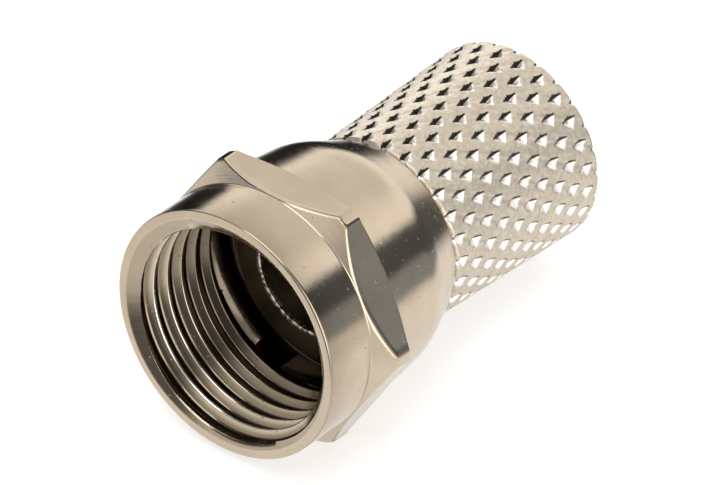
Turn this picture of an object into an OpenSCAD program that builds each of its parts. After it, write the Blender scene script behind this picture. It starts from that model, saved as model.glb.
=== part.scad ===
// Twist-on F connector for coaxial cable: a hex coupling nut that swivels on
// a flanged post, and a diamond-knurled sleeve pressed on the post behind it.
// The axis lies along X with the mating end toward +X. The origin is the
// centre of the nut's threaded hole where the thread begins, just behind the
// countersunk mouth. Depths are counted from the nut's open face toward -X.

/* [Coupling nut] */
// Width of the hex across its flats
hex_af = 11; // [10.9:0.1:12]
// Diameter over the hex corners after they are turned down
hex_corner_d = 12.45; // [12.1:0.05:12.55]
// Length of the hex along the middle of a flat
hex_len = 1.75; // [1.7:0.05:3]
// Length of the turned bevel on the front of the hex corners
hex_front_bevel = 0.65; // [0.4:0.05:0.8]
// Length of the turned bevel on the back of the hex corners
hex_back_bevel = 0.3; // [0.3:0.05:0.7]
// Diameter of the plain rim in front of the hex
rim_d = 10.9; // [10.4:0.1:10.9]
// Length of the plain rim in front of the hex
rim_len = 2.5; // [1.5:0.1:3]
// Diameter of the barrel just behind the hex
barrel_front_d = 10.76; // [10.4:0.02:10.9]
// Diameter of the barrel at the soft edge where it meets the tail
barrel_back_d = 10.1; // [9.6:0.1:10.3]
// Radius of that soft edge
tail_edge_r = 0.8; // [0.2:0.1:2]
// Length of the coned tail
tail_len = 2.15; // [1:0.05:2.5]
// Diameter of the nut at its rear end
tail_d = 8.26; // [7.6:0.02:9]
// Edge break on the outside of the open face
rim_edge = 0.12; // [0.05:0.01:0.2]

/* [Coupling thread] */
// Diameter inside the crests of the coupling thread
thread_minor_d = 8.7; // [8.6:0.05:8.8]
// Length of the threaded wall
thread_len = 4.6; // [4:0.1:7]
// Diameter of the countersink at the open face
mouth_d = 10; // [9.4:0.1:10]
// Depth of the countersink, down to where the thread begins
mouth_chamfer = 0.4; // [0.2:0.05:0.6]
// Diameter of the undercut behind the thread
undercut_d = 9.6; // [8.9:0.1:9.7]
// Length of the undercut behind the thread, where the flange sits
undercut_len = 1.3; // [1.2:0.1:1.8]
// Length of the inner lip that turns on the post
lip_len = 3.15; // [2:0.05:5]

/* [Post] */
// Diameter of the bore for the cable's core insulation
post_bore_d = 5; // [4.6:0.1:5.2]
// Wall of the thin tube that slips under the cable's braid
tube_wall = 0.3; // [0.2:0.05:0.4]
// Wall of the thicker neck that the nut turns on
neck_wall = 0.5; // [0.45:0.05:0.6]
// Height of the flange above the neck
flange_height = 0.65; // [0.4:0.05:0.7]
// Thickness of the flange
flange_len = 1; // [0.6:0.05:1.1]
// Length of the thin tube behind the neck
tube_len = 4.5; // [3:0.1:5.2]
// Length of the taper at the tube's rear end
tip_taper_len = 0.6; // [0.3:0.1:1]
// Edge break at both mouths of the bore
bore_edge = 0.12; // [0.05:0.01:0.15]

/* [Knurled sleeve] */
// Length of the sleeve
sleeve_len = 8.8; // [8:0.05:12]
// Diameter over the knurl at its front end
sleeve_front_d = 8.3; // [8.2:0.05:8.6]
// Diameter over the knurl at its rear end
sleeve_back_d = 8.8; // [8.6:0.05:9.4]
// Length of the bevel that runs out in front of the knurl
front_bevel_len = 0.12; // [0.1:0.01:0.6]
// Length of the bevel that runs out behind the knurl
back_bevel_len = 0.13; // [0.1:0.01:0.6]
// Height of both bevels, from the top of the knurl inward
end_bevel = 0.27; // [0.1:0.01:0.3]
// Length of the front wall that grips the post
front_wall_len = 1.5; // [1:0.1:2]
// Diameter of the cavity that grips the cable jacket
grip_d = 6.8; // [6.6:0.05:7]
// Diameter of the lead-in at the cable entry
entry_d = 7.2; // [7.1:0.05:7.4]
// Length of the lead-in at the cable entry
entry_len = 1.6; // [1.2:0.1:1.8]
// Edge break at the mouth of the cable entry
entry_edge = 0.15; // [0.05:0.05:0.2]

/* [Diamond knurl] */
// Number of diamonds around the sleeve
knurl_count = 26; // [20:1:30]
// Length of one diamond along the axis, from pit to pit
knurl_pitch = 1.71; // [1.4:0.01:2.2]
// Depth of the pits where two grooves cross
pit_depth = 0.26; // [0.1:0.01:0.27]
// Depth of a groove halfway between two pits
groove_depth = 0.04; // [0.02:0.01:0.2]
// Width of a groove at the surface
groove_w = 0.38; // [0.1:0.02:0.5]

/* [Fits] */
// Radial running clearance between the nut's lip and the post's neck
swivel_gap = 0.05; // [0.02:0.01:0.09]
// Axial play of the nut's lip at each of its two faces
end_play = 0.05; // [0.03:0.01:0.15]

/* [Hidden] */
$fn = 96;

// How far a cutting or joining shape runs past the face it meets
past = 0.3;

// Diameters of the post, from its bore outward
tube_d = post_bore_d + 2 * tube_wall;
neck_d = post_bore_d + 2 * neck_wall;
flange_d = neck_d + 2 * flange_height;
lip_bore_d = neck_d + 2 * swivel_gap;

// Depths along the nut
thread_end = mouth_chamfer + thread_len;
lip_front = thread_end + undercut_len;
nut_len = lip_front + lip_len;
hex_end = rim_len + hex_len;
tail_start = nut_len - tail_len;

// Depths along the post
flange_back = lip_front - end_play;
flange_front = flange_back - flange_len;
sleeve_front = nut_len + end_play;
neck_end = sleeve_front + front_wall_len;
post_end = neck_end + tube_len;

// Depths along the sleeve
sleeve_back = sleeve_front + sleeve_len;
entry_start = sleeve_back - entry_len;
knurl_front = sleeve_front + front_bevel_len;
knurl_back = sleeve_back - back_bevel_len;

// The knurl's grid: rows of pits half a diamond apart
knurl_rows = 2 * max(1, round((knurl_back - knurl_front) / knurl_pitch));
knurl_step = 360 / knurl_count;
row_gap = (knurl_back - knurl_front) / knurl_rows;

// Turns a profile of [radius, depth] points about the X axis
module turned(profile) {
    along_axis()
        rotate_extrude()
            polygon(profile);
}

// Lays what is built up along Z out behind the open face along -X
module along_axis() {
    translate([mouth_chamfer, 0, 0])
        rotate([0, -90, 0])
            children();
}

// ---------------------------------------------------------------- nut

// Arc that rounds a corner of an outline, from one side to the other
function rounded_corner(before, corner, after, radius, steps = 4) =
    let (
        to_before = (before - corner) / norm(before - corner),
        to_after = (after - corner) / norm(after - corner),
        half = acos(to_before * to_after) / 2,
        inward = (to_before + to_after) / norm(to_before + to_after),
        centre = corner + inward * radius / sin(half),
        from = corner + to_before * radius / tan(half) - centre,
        to = corner + to_after * radius / tan(half) - centre
    )
    [
        for (i = [0 : steps])
            let (spoke = from + (to - from) * i / steps)
            centre + spoke * radius / norm(spoke)
    ];

// Plain rim, barrel that narrows backward, soft edge and coned tail
module nut_outside() {
    barrel_front = [barrel_front_d / 2, hex_end];
    barrel_back = [barrel_back_d / 2, tail_start];
    tail_end = [tail_d / 2, nut_len];
    turned([
        [0, 0],
        [rim_d / 2 - rim_edge, 0],
        [rim_d / 2, rim_edge],
        [rim_d / 2, rim_len + hex_len / 2],
        barrel_front,
        each rounded_corner(barrel_front, barrel_back, tail_end, tail_edge_r),
        tail_end,
        [0, nut_len]
    ]);
}

// The hexagon is sawn from bar, so its corners are turned to hex_corner_d and
// bevelled both ways, which leaves a lens-shaped flat on each side
module hexagon() {
    corner_r = hex_corner_d / 2;
    flat_r = hex_af / 2;
    front_slope = hex_front_bevel / (corner_r - flat_r);
    back_slope = hex_back_bevel / (corner_r - flat_r);
    intersection() {
        along_axis()
            rotate([0, 0, 30])
                cylinder(h = nut_len, r = flat_r / cos(30), $fn = 6);
        turned([
            [0, rim_len - past * front_slope],
            [flat_r - past, rim_len - past * front_slope],
            [corner_r, rim_len + hex_front_bevel],
            [corner_r, hex_end - hex_back_bevel],
            [flat_r - past, hex_end + past * back_slope],
            [0, hex_end + past * back_slope]
        ]);
    }
}

module nut_inside() {
    minor_r = thread_minor_d / 2;
    mouth_slope = (mouth_d / 2 - minor_r) / mouth_chamfer;
    turned([
        [0, -past],
        [mouth_d / 2 + past * mouth_slope, -past],
        [minor_r, mouth_chamfer],
        [minor_r, thread_end],
        [undercut_d / 2, thread_end],
        [undercut_d / 2, lip_front],
        [lip_bore_d / 2, lip_front],
        [lip_bore_d / 2, nut_len + past],
        [0, nut_len + past]
    ]);
}

module coupling_nut() {
    color("#c9c0ae")
        difference() {
            union() {
                nut_outside();
                hexagon();
            }
            nut_inside();
        }
}

// --------------------------------------------------------------- post

module post() {
    bore_r = post_bore_d / 2;
    color("#b3a689")
        turned([
            [bore_r + bore_edge, flange_front],
            [flange_d / 2, flange_front],
            [flange_d / 2, flange_back],
            [neck_d / 2, flange_back],
            [neck_d / 2, neck_end],
            [tube_d / 2, neck_end],
            [tube_d / 2, post_end - tip_taper_len],
            [bore_r + bore_edge, post_end],
            [bore_r, post_end - bore_edge],
            [bore_r, flange_front + bore_edge]
        ]);
}

// ------------------------------------------------------------- sleeve

// Radius over the knurl at a depth: the sleeve flares toward the cable
function knurl_r(depth) =
    (sleeve_front_d + (sleeve_back_d - sleeve_front_d)
        * (depth - knurl_front) / (knurl_back - knurl_front)) / 2;

function row_depth(row) = knurl_front + row * row_gap;

// Angle of a pit: every other row is turned by half a diamond
function pit_angle(row, i) = (i + (row % 2) / 2) * knurl_step;

function on_knurl(angle, depth, sunk) =
    let (r = knurl_r(depth) - sunk)
    [r * cos(angle), r * sin(angle), depth];

// Share of a cell that its flat-topped diamond keeps between the grooves, with
// the cell taken as a rhombus unrolled at the sleeve's middle radius
cell_half_w = knurl_r((knurl_front + knurl_back) / 2) * PI / knurl_count;
cell_inradius = cell_half_w * row_gap / sqrt(cell_half_w ^ 2 + row_gap ^ 2);
top_share = 1 - groove_w / 2 / cell_inradius;

// Each cell has seven points: the floor of its pit, the left, front, right and
// back corners of its diamond, and the middles of the two shallow grooves that
// lead from the pit to the next row, rightward and leftward. The diamonds of
// the first and last rows are cut in half by the knurl's ends.
function cell_points(row, i) =
    let (
        pit = pit_angle(row, i),
        middle = pit + knurl_step / 2,
        side = knurl_step / 2 * top_share,
        front = row == 0 ? 0 : row_gap * top_share,
        back = row == knurl_rows ? 0 : row_gap * top_share,
        depth = row_depth(row)
    )
    [
        on_knurl(pit, depth, pit_depth),
        on_knurl(middle - side, depth, 0),
        on_knurl(middle, depth - front, 0),
        on_knurl(middle + side, depth, 0),
        on_knurl(middle, depth + back, 0),
        on_knurl(pit + knurl_step / 4, depth + row_gap / 2, groove_depth),
        on_knurl(pit - knurl_step / 4, depth + row_gap / 2, groove_depth)
    ];

function point_index(row, i, corner) =
    7 * (row * knurl_count + (i + knurl_count) % knurl_count) + corner;

// Slope from the diamond's edge down to the groove between two pits
function slope_faces(pit, groove, next_pit, corner, next_corner) = [
    [pit, groove, corner],
    [corner, groove, next_corner],
    [groove, next_pit, next_corner]
];

// Faces of one cell: the flat top and the slopes on the sides not cut off
function cell_faces(row, i) =
    let (
        here = point_index(row, i, 0),
        next = point_index(row, i + 1, 0),
        left = point_index(row, i, 1),
        front = point_index(row, i, 2),
        right = point_index(row, i, 3),
        back = point_index(row, i, 4),
        tip = i + row % 2,
        ahead = point_index(row - 1, tip, 0),
        behind = point_index(row + 1, tip, 0)
    )
    concat(
        [[front, left, back], [right, front, back]],
        row == 0 ? [] : concat(
            slope_faces(ahead, point_index(row - 1, tip, 6), here, front, left),
            slope_faces(next, point_index(row - 1, tip, 5), ahead, right, front)
        ),
        row == knurl_rows ? [] : concat(
            slope_faces(here, point_index(row, i, 5), behind, left, back),
            slope_faces(behind, point_index(row, i + 1, 6), next, back, right)
        )
    );

// Rim of one end of the knurl, passing each half diamond's corners in turn
function end_rim(row, middle) = [
    for (i = [0 : knurl_count - 1])
        for (corner = [0, 1, middle, 3])
            point_index(row, i, corner)
];

// Plain ring of points at one end of the sleeve, each in line with a point of
// the knurl's rim
function end_ring(row, radius, depth) = [
    for (i = [0 : knurl_count - 1])
        for (turn = [0, 1 - top_share, 1, 1 + top_share])
            let (angle = pit_angle(row, i) + turn * knurl_step / 2)
            [radius * cos(angle), radius * sin(angle), depth]
];

// Bevel between two rims of equally many points
function bevel_faces(rim, ring) = [
    for (n = [0 : len(rim) - 1])
        let (m = (n + 1) % len(rim))
        each [[ring[n], rim[n], rim[m]], [ring[n], rim[m], ring[m]]]
];

// Outside of the sleeve: rows of flat-topped diamonds between bevelled ends
module sleeve_outside() {
    cells = [
        for (row = [0 : knurl_rows])
            for (i = [0 : knurl_count - 1])
                [row, i]
    ];
    cell_corners = [for (cell = cells) each cell_points(cell[0], cell[1])];
    cell_sides = [for (cell = cells) each cell_faces(cell[0], cell[1])];
    ring_size = 4 * knurl_count;
    front_ring = [for (n = [0 : ring_size - 1]) len(cell_corners) + n];
    back_ring = [for (n = front_ring) n + ring_size];
    polyhedron(
        points = concat(
            cell_corners,
            end_ring(0, sleeve_front_d / 2 - end_bevel, sleeve_front),
            end_ring(knurl_rows, sleeve_back_d / 2 - end_bevel, sleeve_back)
        ),
        faces = concat(
            cell_sides,
            bevel_faces(end_rim(0, 2), front_ring),
            bevel_faces(back_ring, end_rim(knurl_rows, 4)),
            [front_ring, [for (n = [ring_size - 1 : -1 : 0]) back_ring[n]]]
        )
    );
}

module sleeve_inside() {
    turned([
        [0, sleeve_front - past],
        [neck_d / 2, sleeve_front - past],
        [neck_d / 2, neck_end],
        [grip_d / 2, neck_end],
        [grip_d / 2, entry_start],
        [entry_d / 2, entry_start],
        [entry_d / 2, sleeve_back - entry_edge],
        [entry_d / 2 + entry_edge + past, sleeve_back + past],
        [0, sleeve_back + past]
    ]);
}

module knurled_sleeve() {
    color("#c4bba8")
        difference() {
            along_axis()
                sleeve_outside();
            sleeve_inside();
        }
}

coupling_nut();
post();
knurled_sleeve();
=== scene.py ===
import math

import bmesh
import bpy
import numpy as np
from mathutils import Matrix, Vector


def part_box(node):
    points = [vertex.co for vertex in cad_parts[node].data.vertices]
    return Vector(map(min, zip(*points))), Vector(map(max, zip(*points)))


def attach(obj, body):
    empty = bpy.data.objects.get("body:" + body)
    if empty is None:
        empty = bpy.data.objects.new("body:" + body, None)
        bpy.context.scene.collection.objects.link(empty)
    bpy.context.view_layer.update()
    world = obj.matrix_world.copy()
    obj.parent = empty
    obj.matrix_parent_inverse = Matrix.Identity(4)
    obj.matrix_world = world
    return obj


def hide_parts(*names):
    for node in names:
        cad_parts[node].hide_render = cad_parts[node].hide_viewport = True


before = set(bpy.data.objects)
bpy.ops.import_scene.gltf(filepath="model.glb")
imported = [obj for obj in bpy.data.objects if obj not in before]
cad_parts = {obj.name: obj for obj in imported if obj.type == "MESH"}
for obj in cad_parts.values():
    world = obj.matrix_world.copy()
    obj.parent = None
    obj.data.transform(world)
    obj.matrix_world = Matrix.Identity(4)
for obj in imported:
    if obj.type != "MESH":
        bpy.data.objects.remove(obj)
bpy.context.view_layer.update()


# ---------------------------------------------------------------- post
#
# The post is a hollow stem, turned from brass and thinly plated. Its flange sits in the nut's undercut,
# the nut turns on its neck, the sleeve is pressed on behind, and its tube slips under the cable's braid.
# All depths here are in millimetres and run back from the nut's open face.

MM = 0.001
FACE_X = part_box("coupling_nut")[1].x / MM
ROUND = 2 * math.pi
WELD = 0.0002 * MM


def rounded(corners, closed=True, steps=4):
    """Path through corners of (depth, radius, cut), where each may vary with the angle.

    Every corner becomes a parabola that leaves one side and joins the other at the distance cut, or at
    most 45% of the side's length, with one more point just outside each end to keep the sides flat.
    """
    most = 0.45
    outside = 1.08
    width = max(np.size(value) for corner in corners for value in corner)
    points = np.array([[np.broadcast_to(value, width) for value in corner] for corner in corners], float)
    place, cut = points[:, :2], points[:, 2]
    before = np.roll(place, 1, 0) - place
    after = np.roll(place, -1, 0) - place
    before_length = np.hypot(before[:, 0], before[:, 1])
    after_length = np.hypot(after[:, 0], after[:, 1])
    reach = np.minimum(cut, most * np.minimum(before_length, after_length))
    before = before / before_length[:, None]
    after = after / after_length[:, None]
    path = []
    for i in range(len(corners)):
        if not closed and i in (0, len(corners) - 1):
            path.append(place[i])
            continue
        leave, join = before[i] * reach[i], after[i] * reach[i]
        path.append(place[i] + leave * outside)
        for share in np.linspace(0, 1, steps + 1):
            path.append(place[i] + leave * (1 - share) ** 2 + join * share ** 2)
        path.append(place[i] + join * outside)
    return np.array(path)


def spread(path, angle):
    """Depth and radius rows of a path, the same at every angle where it has one column."""
    wide = np.broadcast_to(path, (len(path), 2, len(angle)))
    return wide[:, 0], wide[:, 1]


def turned(name, body, angle, depth, radius, painted_light, split=None):
    """Closed shell about the X axis: point (i, j) lies at depth[i, j] and radius[i, j], turned by angle[j].

    The last row joins the first, and the first and last angle are the same line, so the shell is a ring.
    Where split is true, a square is divided along its other diagonal. Points nearer than WELD are merged,
    and the painted light and shade is kept with the points for the material to read.
    """
    rows, columns = depth.shape
    points = np.stack(
        [FACE_X - depth, radius * np.cos(angle), radius * np.sin(angle)], axis=-1
    )
    index = np.arange(rows * columns).reshape(rows, columns)
    below = np.roll(index, -1, 0)
    faces = np.stack([index[:, :-1], index[:, 1:], below[:, 1:], below[:, :-1]], axis=-1)
    if split is not None:
        faces = np.where(split[..., None], np.roll(faces, 1, -1), faces)
    mesh = bpy.data.meshes.new(name)
    mesh.from_pydata(points.reshape(-1, 3) * MM, [], faces.reshape(-1, 4).tolist())
    mesh.attributes.new("painted_light", "FLOAT", "POINT").data.foreach_set("value", painted_light.ravel())
    shell = bmesh.new()
    shell.from_mesh(mesh)
    bmesh.ops.remove_doubles(shell, verts=shell.verts, dist=WELD)
    bmesh.ops.recalc_face_normals(shell, faces=shell.faces)
    shell.to_mesh(mesh)
    shell.free()
    mesh.polygons.foreach_set("use_smooth", np.ones(len(mesh.polygons), bool))
    piece = bpy.data.objects.new(name, mesh)
    bpy.context.scene.collection.objects.link(piece)
    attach(piece, body)
    return piece


class Value:
    """A number or vector that a material's nodes work out. Arithmetic on it adds the Math nodes."""

    def __init__(self, finish, socket):
        self.finish = finish
        self.socket = socket

    def math(self, operation, first, second=0.0):
        return self.finish.node("ShaderNodeMath", {"operation": operation}, {0: first, 1: second})

    def __add__(self, other):
        return self.math("ADD", self, other)

    def __sub__(self, other):
        return self.math("SUBTRACT", self, other)

    def __rsub__(self, other):
        return self.math("SUBTRACT", other, self)

    def __mul__(self, other):
        return self.math("MULTIPLY", self, other)

    __radd__ = __add__
    __rmul__ = __mul__


class Finish:
    """A node tree being built, for a material or for the studio's surroundings."""

    def __init__(self, tree):
        self.tree = tree
        self.tree.nodes.clear()

    def node(self, kind, settings, sockets, output=0):
        """Adds a node of that kind, makes its settings, then fills its sockets with values or links."""
        added = self.tree.nodes.new(kind)
        for name, setting in settings.items():
            setattr(added, name, setting)
        for name, given in sockets.items():
            if isinstance(given, Value):
                self.tree.links.new(given.socket, added.inputs[name])
            else:
                added.inputs[name].default_value = given
        return Value(self, added.outputs[output] if added.outputs else None)

    def place(self):
        """The point's own coordinates on the object."""
        return self.node("ShaderNodeTexCoord", {}, {}, "Object")

    def noise(self, size, detail=2.0, stretch=(1, 1, 1)):
        """Soft cloudy value from 0 to 1 whose blotches are about size across, in mm."""
        scale = [1 / (size * MM * along) for along in stretch]
        point = self.node("ShaderNodeVectorMath", {"operation": "MULTIPLY"}, {0: self.place(), 1: scale})
        return self.node("ShaderNodeTexNoise", {}, {"Vector": point, "Scale": 1.0, "Detail": detail}, "Fac")

    def kept(self, name):
        """A number that the mesh keeps with its points."""
        return self.node("ShaderNodeAttribute", {"attribute_name": name}, {}, "Fac")

    def between(self, value, low, high):
        """0 where value is under low, 1 where it is over high, and a smooth step between."""
        return self.node(
            "ShaderNodeMapRange",
            {"interpolation_type": "SMOOTHSTEP"},
            {"Value": value, "From Min": low, "From Max": high},
        )

    def colours(self, share, first, second):
        """Mix of two colours, or of a worked-out colour and another, by share."""
        return self.node(
            "ShaderNodeMix", {"data_type": "RGBA"}, {"Factor": share, 6: first, 7: second}, 2
        )

    def bump(self, height, depth):
        """Normal that makes height, from 0 to 1, look depth deep, in mm."""
        return self.node("ShaderNodeBump", {}, {"Height": height, "Distance": depth * MM, "Strength": 1.0})


def new_material(name):
    """A new material and the Finish that builds its nodes."""
    material = bpy.data.materials.new(name)
    material.use_nodes = True
    return material, Finish(material.node_tree)


def metal_surface(finish, colour, roughness, normal):
    """Ends a metal's finish with its shader and output."""
    shader = finish.node(
        "ShaderNodeBsdfPrincipled",
        {},
        {"Base Color": colour, "Metallic": 1.0, "Roughness": roughness, "Normal": normal},
    )
    finish.node("ShaderNodeOutputMaterial", {}, {"Surface": shader})


def dull_plating():
    """Thin plating on the turned post: brown and dull, with fine turning lines and a painted highlight on
    the bore's edge.

    The colour is a mix of two browns by soft clouds. On the bore's edge, where the kept value is 0, patches
    of near-white colour are a painted, speckled highlight.
    """
    material, finish = new_material("dull_plating")
    cloud = finish.noise(1.2, 3.0)
    lines = finish.noise(0.05, 1.0, (1, 60, 60))
    highlight_patches = finish.between(finish.noise(0.22, 1.0), 0.42, 0.62)
    colour = finish.colours(cloud, (0.12, 0.10, 0.07, 1), (0.22, 0.18, 0.125, 1))
    # Painted highlight: speckled near-white patches on the bore's edge, where the kept value is 0.
    painted_edge_highlight = (1 - finish.kept("painted_light")) * highlight_patches
    colour = finish.colours(painted_edge_highlight, colour, (0.95, 0.90, 0.80, 1))
    metal_surface(finish, colour, 0.28 + 0.14 * cloud, finish.bump(lines, 0.004))
    return material


neck_end = 11.0
post_end = 15.5
flange_front = 5.25
flange_back = 6.25
bore_r = 2.5
tube_r = 2.8
neck_r = 3.0
flange_r = 3.65

post_angle = np.linspace(0, ROUND, 241)
bore_edge_rows = 7  # the rows of post_path's first corner
post_path = rounded([
    (flange_front, bore_r, 0.12),
    (flange_front, bore_r + 0.22, 0.02),
    (flange_front, flange_r, 0.05),
    (flange_back, flange_r, 0.05),
    (flange_back, neck_r, 0.05),
    (neck_end, neck_r, 0.05),
    (neck_end, tube_r, 0.03),
    (post_end - 0.6, tube_r, 0.1),
    (post_end, bore_r + 0.12, 0.05),
    (post_end, bore_r, 0.05),
    (flange_front + 0.25, bore_r, 0.02),
])
post_depth, post_radius = spread(post_path, post_angle)
post_painted_light = np.ones(post_depth.shape)
# The bore's edge rows get the painted highlight.
post_painted_light[:bore_edge_rows] = 0
post = turned("post_stem", "body", post_angle, post_depth, post_radius, post_painted_light)
post.data.materials.append(dull_plating())
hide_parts("post")


# -------------------------------------------------------- coupling nut
#
# The nut is turned from hexagon brass bar and plated with bright nickel. The hexagon is left only as a
# belt of six lens-shaped flats between the plain rim and the barrel. A right-hand thread is cut inside its
# mouth, and its rear lip turns freely on the post's neck.

rim_r = 5.45
rim_len = 2.5
hex_end = 4.25
flat_r = 5.5
corner_r = 6.225
front_bevel = 0.65
back_bevel = 0.3
lip_width = 0.25
lip_height = 0.03
lip_fade = 0.15
barrel_front_r = 5.38
tail_start = 7.3
tail_start_r = 5.05
nut_len = 9.45
tail_r = 4.13
lip_r = 3.05
lip_front = 6.3
undercut_r = 4.8
thread_end = 5.0
thread_r = 4.48
thread_root_r = 4.82
thread_pitch = 0.87
first_crest = 0.61
mouth_r = 5.1
mouth_chamfer = 0.3
mouth_run = 0.05
edge_shade_length = 0.27

nut_angle = np.linspace(0, ROUND, 361)


def belt_radius(angle):
    """Radius of a hexagon with flats up and down, with its corners turned down to corner_r."""
    from_flat = angle % (math.pi / 3) - math.pi / 6
    return np.minimum(flat_r / np.cos(from_flat), corner_r)


def threaded(crest, root, pitch, first, start, end, angle, steps=2):
    """Depth and radius of a right-hand internal thread, in rows that follow its helix from start to end.

    At angle 0 the first crest begins at the depth first, and one turn brings it one pitch nearer the face.
    Along one pitch the crest takes a tenth, the root a third, and two straight flanks the rest. Each
    corner of the form is rounded in that many steps.
    """
    crest_width = 0.1 * pitch
    flank_width = 0.283 * pitch
    crest_cut = 0.05 * pitch
    root_cut = 0.08 * pitch
    form = rounded([
        (-flank_width, root, 0),
        (0, crest, crest_cut),
        (crest_width, crest, crest_cut),
        (crest_width + flank_width, root, root_cut),
        (pitch - flank_width, root, root_cut),
        (pitch, crest, crest_cut),
        (pitch + crest_width, crest, 0),
    ], closed=False, steps=steps)[:, :, 0]
    along, height = form[:, 0], form[:, 1]
    one_turn = along[(along >= 0) & (along < 0.999 * pitch)]
    turns = np.arange(-1, math.ceil((end - first) / pitch) + 2) * pitch
    rows = first + (turns[:, None] + one_turn).ravel()
    lead = pitch * angle / ROUND
    depth = np.clip(rows[:, None] - lead, start, end)
    return depth, np.interp((depth - first + lead) % pitch, along, height)


def stacked(*stretches):
    """Joins stretches of (depth, radius) rows into one shell's rows."""
    return np.concatenate([s[0] for s in stretches]), np.concatenate([s[1] for s in stretches])


belt = belt_radius(nut_angle)
sunk_belt = belt - lip_height * np.minimum(1, (corner_r - belt) / lip_fade)
front_slope = front_bevel / (corner_r - flat_r)
back_slope = back_bevel / (corner_r - flat_r)
belt_front = rim_len + (belt - flat_r) * front_slope
# The first corner only sets the direction of the countersink, and is left out of the shell.
nut_outside = rounded([
    (mouth_chamfer, thread_r, 0),
    (0, mouth_r, 0.07),
    (0, rim_r, 0.12),
    (rim_len - (flat_r - rim_r) * front_slope, rim_r, 0.04),
    (belt_front, belt, 0.22),
    (belt_front + lip_width, sunk_belt, 0.04),
    (hex_end - (belt - flat_r) * back_slope, sunk_belt, 0.05),
    (hex_end + (flat_r - barrel_front_r) * back_slope, barrel_front_r, 0.04),
    (tail_start, tail_start_r, 0.5),
    (nut_len, tail_r, 0.05),
    (nut_len, lip_r, 0.05),
    (lip_front, lip_r, 0.04),
    (lip_front, undercut_r, 0.04),
    (thread_end, undercut_r, 0),
], closed=False)
thread_depth, thread_radius = threaded(
    thread_r, thread_root_r, thread_pitch, first_crest, mouth_run, thread_end, nut_angle
)
mouth_slope = (mouth_r - thread_r) / mouth_chamfer
thread_radius = np.maximum(thread_radius, mouth_r - mouth_slope * thread_depth)
thread_radius = np.maximum(thread_radius, undercut_r - (thread_end - thread_depth))
nut_depth, nut_radius = stacked(
    spread(nut_outside[1:], nut_angle), (thread_depth[::-1], thread_radius[::-1])
)


def painted_light_on_nut(depth, radius, angle):
    """Painted light and shade on each point of the nut: 0 is plain nickel, 2 the darkest shade, -1
    highlight.

    Inside, painted shade darkens the metal between the thread's crests, more with depth. A crest gets a
    painted highlight where light would reach it, which is less with depth. The countersink gets half
    painted shade. On every other flat, a painted shade line along the front edge fades over the first
    stretch of the flat.
    """
    clear_of_edge = 0.02
    countersink = (depth < mouth_chamfer) & (radius > mouth_r - mouth_slope * depth - 0.01)
    inside = (radius < mouth_r - 0.01) & (depth > clear_of_edge) & (depth < lip_front + 0.1)
    crest_share = np.clip((thread_root_r - radius) / (thread_root_r - thread_r), 0, 1)
    lit_share = np.clip(1.35 - depth / 3.8, 0, 1)
    unlit = 1.2 + np.clip((depth - 2.0) / 2.5, 0, 0.7)
    # Painted shade between the thread's crests, darker with depth, and painted highlights on the crests.
    thread_painted_light = np.maximum(unlit - (1.3 + unlit) * crest_share ** 6 * lit_share, -1)
    painted_light = np.where(inside & ~countersink, thread_painted_light, 0)
    # The countersink gets half painted shade.
    painted_light = np.where(countersink & (depth > clear_of_edge), 0.5, painted_light)
    # Painted shade line along the front edge of every other flat, fading along the flat.
    along_flat = angle % (math.pi / 3) / (math.pi / 3)
    edge_shaded_flat = (angle % (2 * math.pi / 3) > math.pi / 3) & (along_flat < edge_shade_length)
    on_edge = (abs(depth - belt_front) < 0.07) & (radius > flat_r - 0.05)
    painted_edge_shade = 0.9 * np.sqrt(np.clip(1 - along_flat / edge_shade_length, 0, 1))
    return np.where(on_edge & edge_shaded_flat, painted_edge_shade, painted_light)


def bright_nickel():
    """Polished nickel over turned brass: warm silver, clouded a little, with fine lines and tiny dents.

    The colour is a mix of two warm silvers by soft clouds, with painted shade, browner where the kept value
    is up to 1 and nearly black at 2, and a painted highlight, nearly white, at -1. Fine lines run round the
    axis where the tool passed, and a sprinkle of dents catches the light in the dark reflections.
    """
    grain = 0.16
    wear = 0.8
    material, finish = new_material("nut_nickel")
    cloud = finish.noise(1.6, 3.0)
    haze = finish.noise(0.35, 4.0)
    lines = finish.noise(0.04, 2.0, (1, 90, 90))
    dents = finish.between(finish.noise(grain, 2.0), 0.68, 0.80)
    painted_light = finish.kept("painted_light")
    colour = finish.colours(cloud, (0.45, 0.365, 0.265, 1), (0.59, 0.50, 0.385, 1))
    colour = finish.colours(dents * (0.3 * wear), colour, (0.30, 0.24, 0.17, 1))
    # Painted shade: browner up to 1 and nearly black at 2; painted highlight: nearly white at -1.
    colour = finish.colours(finish.between(painted_light, 0, 1), colour, (0.24, 0.195, 0.14, 1))
    colour = finish.colours(finish.between(painted_light, 1, 2), colour, (0.13, 0.105, 0.08, 1))
    colour = finish.colours(finish.between(painted_light, 0, -1), colour, (0.98, 0.95, 0.90, 1))
    roughness = 0.08 + 0.09 * haze + 0.04 * lines
    relief = 0.12 * lines + 0.25 * haze + wear * dents
    metal_surface(finish, colour, roughness, finish.bump(relief, 0.012))
    return material


nut_painted_light = painted_light_on_nut(nut_depth, nut_radius, nut_angle)
nut = turned("hex_nut", "nut", nut_angle, nut_depth, nut_radius, nut_painted_light)
nut.data.materials.append(bright_nickel())
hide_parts("coupling_nut")


# ------------------------------------------------------ knurled sleeve
#
# The sleeve is a turned brass tube with a diamond knurl rolled into it for the fingers, plated like the
# nut. It is pressed on the post's neck. A coarse thread inside its open end bites into the cable's jacket
# when the connector is twisted on.

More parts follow.
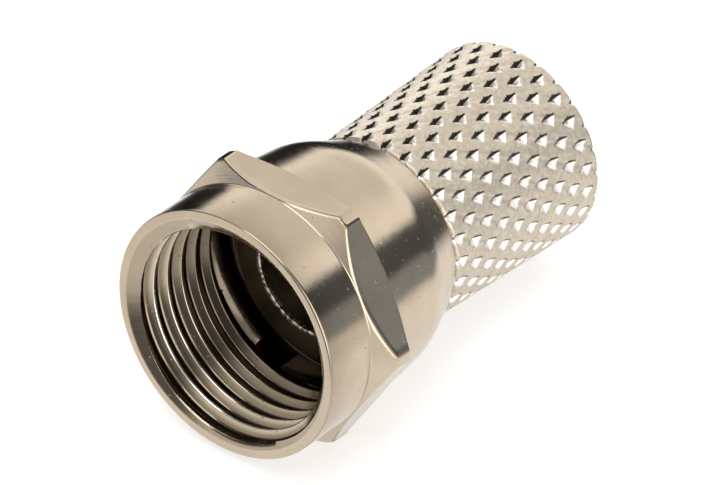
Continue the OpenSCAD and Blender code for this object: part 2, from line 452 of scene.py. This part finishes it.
knurl_count = 26
knurl_pitch = 1.71
first_pit_depth = 9.815
first_pit_angle = math.radians(7.79)
pit_depth = 0.24
pit_up = 0.12
pit_down = 0.5 - pit_up * 2 / 3
pit_along = 0.25
groove_depth = 0.03
groove_share = 0.15
cell_rows = 12
sleeve_front = 9.5
sleeve_back = 18.3
sleeve_front_r = 4.15
sleeve_back_r = 4.4
end_bevel = 0.27
end_bevel_len = 0.13
entry_r = 3.6
entry_edge = 0.15
entry_len = 1.6
grip_r = 3.4
grip_root_r = 3.66
grip_pitch = 1.5
grip_start = neck_end + 0.3

row_gap = knurl_pitch / 2 / cell_rows
rows_before = int((first_pit_depth - sleeve_front) / row_gap) - 1
knurl_depth = np.arange(
    first_pit_depth - rows_before * row_gap, sleeve_back - end_bevel_len + row_gap / 2, row_gap
)
# The grid's lines along the sleeve, in each half of a cell, divide the upper wall in three and the lower
# wall in six, so that the slanting edges of a pit run from corner to corner of the squares.
upper_lines = pit_up * np.arange(4) / 3
lower_lines = 0.5 - pit_down * np.arange(2.0, 0, -0.5) / 3
cell_lines = np.concatenate([upper_lines, [(pit_up + lower_lines[0]) / 2], lower_lines])
cells = np.arange(knurl_count * 2)[:, None] * 0.5 + cell_lines
sleeve_angle = np.append(cells, knurl_count) * ROUND / knurl_count + first_pit_angle


def knurl(depth, angle):
    """How deep the surface lies under the knurl's top, a point's painted light, and where squares split.

    With a and b counted in pits round and along the sleeve, the tool's two families of lines are at whole
    values of u = a + b and v = a - b, and a pit opens about each crossing. Its bottom is a line along the
    sleeve: the upper wall is steep and gets painted shade, and the lower wall is a gentle slope with a
    painted highlight, and both end where abs(b) reaches pit_along. Soft grooves join the pits along the
    lines. A square's diagonal follows the pit's edge in a pit, and the grooves elsewhere.
    """
    edge_gain = 6
    past_edge = 0.2
    wall_blend = 0.04
    slope_blend = 0.05
    around = (angle - first_pit_angle) * knurl_count / ROUND
    along = (depth[:, None] - first_pit_depth) / knurl_pitch
    u, v = around + along, around - along
    off_u, off_v = u - np.round(u), v - np.round(v)
    a, b = (off_u + off_v) / 2, (off_u - off_v) / 2
    open_share = 1 - abs(b) / pit_along
    upper = open_share - a / pit_up
    lower = open_share + a / pit_down
    pit = np.clip(np.minimum(upper, lower), 0, 1)
    groove = np.cos(math.pi / 2 * np.clip(np.minimum(abs(off_u), abs(off_v)) / groove_share, 0, 1)) ** 2
    # Painted shade on the pit's steep upper wall.
    wall = np.clip(edge_gain * (upper + past_edge), 0, 1) * np.clip(1 + a / wall_blend, 0, 1)
    wall = wall * (open_share > 0.1)
    # Painted highlight on the pit's gentle lower wall; this slope is that mask, not the floor's slope.
    slope = np.clip(edge_gain * lower, 0, 1) * np.clip(-a / slope_blend, 0, 1) * (open_share > 0)
    return np.maximum(pit_depth * pit, groove_depth * groove), wall - slope, (a * b > 0) == (pit > 0)


def sleeve_radius(depth):
    """Radius over the knurl, which flares a little toward the cable."""
    share = (depth - sleeve_front) / (sleeve_back - sleeve_front)
    return sleeve_front_r + (sleeve_back_r - sleeve_front_r) * share


def satin_nickel():
    """Nickel over the rolled knurl: warm and pale, blurred by fine pressing marks, with painted shade and
    painted highlights in the pits.

    The colour is a mix of two pale silvers by clouds, with darker specks, painted shade nearly black where
    the kept value is 1, and a painted highlight nearly white where it is -1.
    """
    material, finish = new_material("satin_nickel")
    cloud = finish.noise(0.5, 3.0)
    marks = finish.noise(0.14, 3.0)
    speck = finish.between(finish.noise(0.2, 3.0), 0.38, 0.62)
    painted_light = finish.kept("painted_light")
    colour = finish.colours(cloud, (0.50, 0.43, 0.34, 1), (0.66, 0.60, 0.50, 1))
    colour = finish.colours(0.35 * speck, colour, (0.36, 0.29, 0.22, 1))
    # Painted shade, nearly black, on the pits' upper walls and painted highlight, nearly white, on their
    # lower walls.
    colour = finish.colours(finish.between(painted_light, 0, 1), colour, (0.025, 0.02, 0.015, 1))
    colour = finish.colours(finish.between(painted_light, 0, -1), colour, (1.0, 0.97, 0.92, 1))
    metal_surface(finish, colour, 0.34 + 0.12 * cloud, finish.bump(marks, 0.03))
    return material


# The knurl's painted shade on the pits' upper walls and painted highlight on their lower walls.
sunk, knurl_painted_light, _ = knurl(knurl_depth, sleeve_angle)
outside = (
    np.repeat(knurl_depth[:, None], len(sleeve_angle), 1),
    sleeve_radius(knurl_depth)[:, None] - sunk,
)
rear_mouth = rounded([
    (knurl_depth[-1], sleeve_back_r, 0),
    (sleeve_back, sleeve_back_r - end_bevel, 0.05),
    (sleeve_back, entry_r + entry_edge, 0.04),
    (sleeve_back - entry_edge, entry_r, 0.05),
    (sleeve_back - entry_len, entry_r, 0.05),
    (sleeve_back - entry_len, grip_root_r, 0),
], closed=False, steps=1)[1:-1]
grip_depth, grip_radius = threaded(
    grip_r, grip_root_r, grip_pitch, grip_start, grip_start, sleeve_back - entry_len, sleeve_angle, steps=0
)
grip_radius = np.minimum(grip_radius, entry_r)
front_mouth = rounded([
    (grip_start, grip_r, 0),
    (neck_end, grip_r, 0.04),
    (neck_end, neck_r, 0.03),
    (sleeve_front, neck_r, 0.05),
    (sleeve_front, sleeve_front_r - end_bevel, 0.04),
    (knurl_depth[0], sleeve_front_r, 0),
], closed=False, steps=1)[1:-1]
sleeve_depth, sleeve_radii = stacked(
    outside,
    spread(rear_mouth, sleeve_angle),
    (grip_depth[::-1], grip_radius[::-1]),
    spread(front_mouth, sleeve_angle),
)
middle_depth = (knurl_depth[:-1] + knurl_depth[1:]) / 2
middle_angle = (sleeve_angle[:-1] + sleeve_angle[1:]) / 2
_, _, falling = knurl(middle_depth, middle_angle)
split = np.zeros((len(sleeve_depth), len(middle_angle)), bool)
split[:len(falling)] = falling
sleeve_painted_light = np.zeros(sleeve_depth.shape)
sleeve_painted_light[:len(knurl_painted_light)] = knurl_painted_light

sleeve = turned("grip_sleeve", "body", sleeve_angle, sleeve_depth, sleeve_radii, sleeve_painted_light, split)
sleeve.data.materials.append(satin_nickel())
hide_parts("knurled_sleeve")


# --------------------------------------------------------------- floor
#
# The connector lies on a plain pale floor. The belt's lowest flat and the sleeve's rear edge touch it, so
# the floor leans a few degrees against the axis, with its slope worked out from those two places. It is
# flat paint, and it fades out all round.

nut_foot = Vector(((FACE_X - hex_end) * MM, 0, -flat_r * MM))
sleeve_foot = Vector(((FACE_X - knurl_depth[-1]) * MM, 0, -sleeve_back_r * MM))
slope = (nut_foot - sleeve_foot).normalized()
floor_up = Vector((-slope.z, 0, slope.x))
floor_half = 0.06
fade_start, fade_end = 13.0, 24.0

floor_mesh = bpy.data.meshes.new("floor")
floor_mesh.from_pydata(
    [(i * floor_half, j * floor_half, 0) for i, j in ((-1, -1), (1, -1), (1, 1), (-1, 1))],
    [],
    [(0, 1, 2, 3)],
)
floor = bpy.data.objects.new("floor", floor_mesh)
floor.matrix_world = Matrix.Translation((nut_foot + sleeve_foot) / 2) @ Matrix((
    (slope.x, 0, floor_up.x, 0),
    (0, 1, 0, 0),
    (slope.z, 0, floor_up.z, 0),
    (0, 0, 0, 1),
))
bpy.context.scene.collection.objects.link(floor)
floor_paint, finish = new_material("floor_paint")
away = finish.node("ShaderNodeVectorMath", {"operation": "LENGTH"}, {0: finish.place()}, "Value")
shader = finish.node("ShaderNodeBsdfPrincipled", {}, {
    "Base Color": (0.55, 0.55, 0.55, 1),
    "Roughness": 0.7,
    "Emission Color": (1, 1, 1, 1),
    "Emission Strength": 0.6,
    "Alpha": 1 - finish.between(away, fade_start * MM, fade_end * MM),
})
finish.node("ShaderNodeOutputMaterial", {}, {"Surface": shader})
floor_mesh.materials.append(floor_paint)


# -------------------------------------------------------------- studio
#
# Soft light comes from all round, but for a tilted dark strip, a dark patch behind the connector and a dim
# front, which give polished metal its black bands. A bright patch lights the nut's side, a lamp hangs
# overhead, and two lamps light the knurl alone. The camera looks down on the mouth and one side.

world = bpy.data.worlds.new("studio")
bpy.context.scene.world = world
world.use_nodes = True
air = Finish(world.node_tree)
direction = air.node("ShaderNodeTexCoord", {}, {}, "Generated")


def toward(pole):
    """Cosine of the angle between a direction in the room and the pole."""
    return air.node(
        "ShaderNodeVectorMath", {"operation": "DOT_PRODUCT"}, {0: direction, 1: pole}, "Value"
    )


tilted = toward((-0.610, -0.232, 0.757))
backdrop = toward((-0.692, -0.705, -0.154))
strip = air.between(tilted, 0.13, 0.20) - air.between(tilted, 0.63, 0.72)
core = air.between(tilted, 0.36, 0.42)
bright_edge = air.between(tilted, 0.63, 0.72) - air.between(tilted, 0.78, 0.95)
patch = air.between(backdrop, 0.92, 0.97)
front = air.between(toward((0.98, 0.17, 0.0)), 0.80, 0.94)
side = air.between(toward((0.42, 0.87, 0.24)), 0.85, 0.92)
glow = 1.06 - strip * (0.66 + 0.28 * core) + 0.35 * bright_edge
glow = glow * (1 - 0.85 * patch) * (1 - 0.8 * front) + 1.6 * side
tint = air.colours(strip, (1.0, 0.985, 0.96, 1), (0.93, 1.0, 1.1, 1))
light = air.node("ShaderNodeBackground", {}, {"Color": tint, "Strength": glow})
air.node("ShaderNodeOutputWorld", {}, {"Surface": light})

view_direction = Vector((0.650, 0.490, 0.581)).normalized()
camera_distance = 0.626
aim = Vector(((FACE_X - 8.6) * MM, 0, 0))


def looking(name, data, place, target):
    """Puts a camera or light at place, turned to look at target with the floor level."""
    back = (place - target).normalized()
    across = floor_up.cross(back).normalized()
    turn = Matrix((across, back.cross(across), back)).transposed()
    looker = bpy.data.objects.new(name, data)
    looker.matrix_world = Matrix.Translation(place) @ turn.to_4x4()
    bpy.context.scene.collection.objects.link(looker)
    return looker


overhead = bpy.data.lights.new("overhead", "AREA")
overhead.size = 0.5
overhead.energy = 2.0
looking("overhead", overhead, aim + floor_up * 0.7 + slope * 0.2, aim)

lit = bpy.data.collections.new("sleeve_fill_lights")
lit.objects.link(sleeve)
fills = [((-0.66, 0.70, 0.27), 0.12), ((-0.70, -0.71, 0.05), 0.25)]
for number, (fill_direction, energy) in enumerate(fills):
    fill = bpy.data.lights.new(f"sleeve_fill_{number}", "AREA")
    fill.size = 0.25
    fill.energy = energy
    lamp = looking(fill.name, fill, aim + Vector(fill_direction).normalized() * 0.3, aim)
    lamp.light_linking.receiver_collection = lit

lens = bpy.data.cameras.new("camera")
lens.lens = 783
lens.clip_start = 0.01
lens.clip_end = 10
camera = looking("camera", lens, aim + view_direction * camera_distance, aim)
bpy.context.scene.camera = camera
bpy.context.scene.view_settings.view_transform = "Standard"
